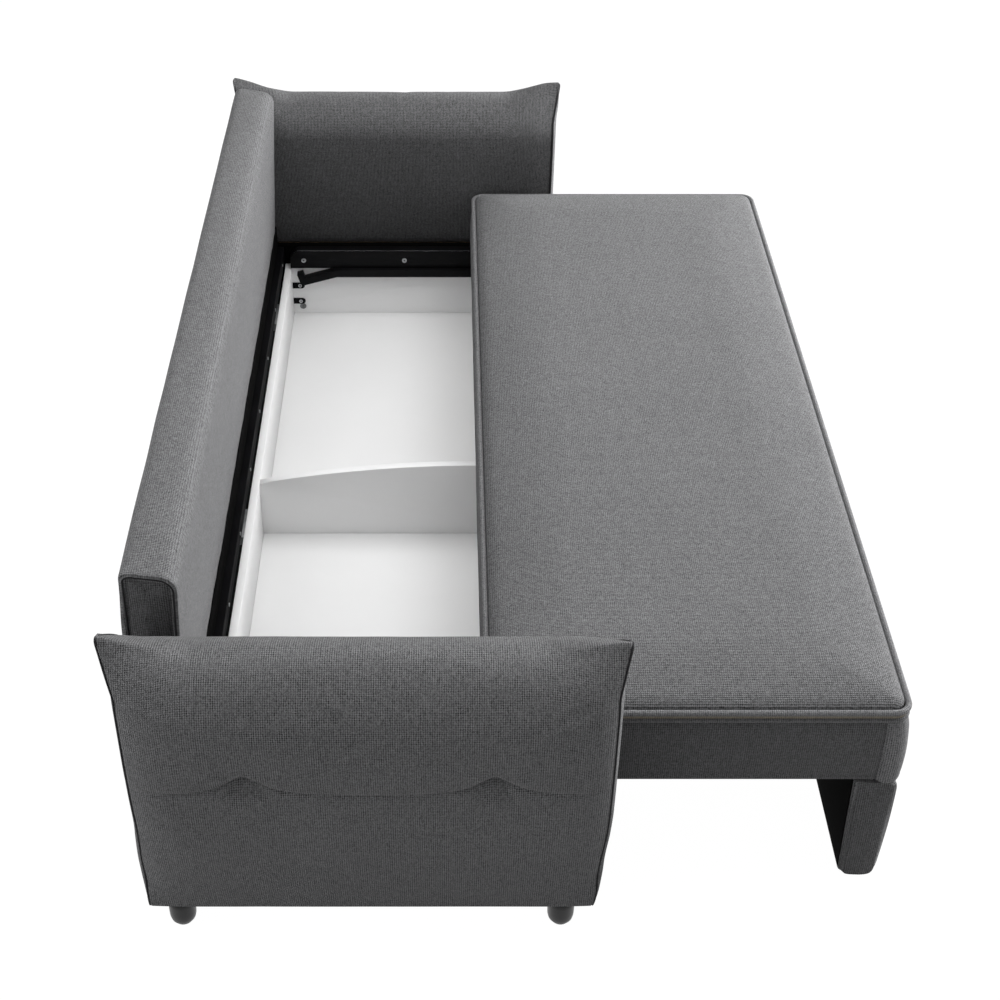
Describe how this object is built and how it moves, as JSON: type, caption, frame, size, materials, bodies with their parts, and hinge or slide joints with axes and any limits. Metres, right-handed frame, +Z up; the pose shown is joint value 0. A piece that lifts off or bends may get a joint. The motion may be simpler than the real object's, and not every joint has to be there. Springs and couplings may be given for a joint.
{
  "type": "storage sofa",
  "caption": "Upholstered sofa with flared-ear arms and a seat that pulls out on rollers and a leg panel, uncovering a white laminated storage box.",
  "frame": {"origin": "on the floor under the middle of the whole sofa with its seat pulled out", "axes": "+X along the sofa's length to the sitter's left, -Y towards the front, +Z up"},
  "size_m": [2.364, 1.3936, 0.742],
  "materials": {
    "upholstery": "woven, matt",
    "piping": "woven, matt",
    "timber": "planed",
    "black_lining": "non-woven, matt",
    "webbing": "elastic webbing",
    "black_plastic": "satin",
    "laminate": "white melamine, satin",
    "nylon": "satin",
    "zinc": "zinc plated",
    "black_steel": "gloss black powder coat"
  },
  "bodies": {
    "base": {"left_arm_frame": "timber", "right_arm_frame": "timber", "left_rail_board": "black_lining", "right_rail_board": "black_lining", "left_arm_cover": "upholstery", "right_arm_cover": "upholstery", "left_arm_welts": "piping", "right_arm_welts": "piping", "front_left_foot": "black_plastic", "rear_left_foot": "black_plastic", "front_right_foot": "black_plastic", "rear_right_foot": "black_plastic", "rear_beam": "black_lining", "rear_cover": "upholstery", "backrest_frame": "timber", "backrest_cover": "upholstery", "backrest_welts": "piping", "backrest_bolts": "zinc", "box_back_wall": "laminate", "box_front_wall": "laminate", "left_end_wall": "laminate", "right_end_wall": "laminate", "left_floor": "laminate", "right_floor": "laminate", "divider": "laminate", "wall_brackets": "zinc", "corner_tabs": "black_steel", "tab_rivets": "zinc", "cam_connectors": "zinc", "left_side_rail": "black_steel", "right_side_rail": "black_steel", "left_track": "black_steel", "right_track": "black_steel", "rear_crossbar": "black_steel", "rail_bolts": "zinc", "crossbar_screws": "zinc"},
    "seat": {"seat_frame": "timber", "seat_webbing": "webbing", "seat_cushion": "upholstery", "seat_apron": "upholstery", "upper_welt": "piping", "lower_welt": "piping", "seat_lining": "black_lining", "fascia_board": "timber", "fascia_cover": "upholstery", "fascia_lining": "black_lining", "fascia_brackets": "black_steel", "fascia_glides": "black_plastic", "left_roller_bracket": "black_steel", "right_roller_bracket": "black_steel"},
    "left_wheel": {"left_roller": "nylon"},
    "right_wheel": {"right_roller": "nylon"}
  },
  "joints": [
    {"name": "seat_slide", "type": "slide", "parent": "base", "child": "seat", "axis": [0, 1, 0], "range_m": [0, 0.5]},
    {"name": "left_roller_spin", "type": "hinge", "parent": "seat", "child": "left_wheel", "pos_m": [0.979, -0.0598, 0.2253], "axis": [1, 0, 0], "range_deg": [-1310, 0]},
    {"name": "right_roller_spin", "type": "hinge", "parent": "seat", "child": "right_wheel", "pos_m": [-0.979, -0.0598, 0.2253], "axis": [1, 0, 0], "range_deg": [-1310, 0]}
  ],
  "couplings": [
    {"joint": "left_roller_spin", "follows": "seat_slide", "rad_per_m": -45.455},
    {"joint": "right_roller_spin", "follows": "seat_slide", "rad_per_m": -45.455}
  ]
}
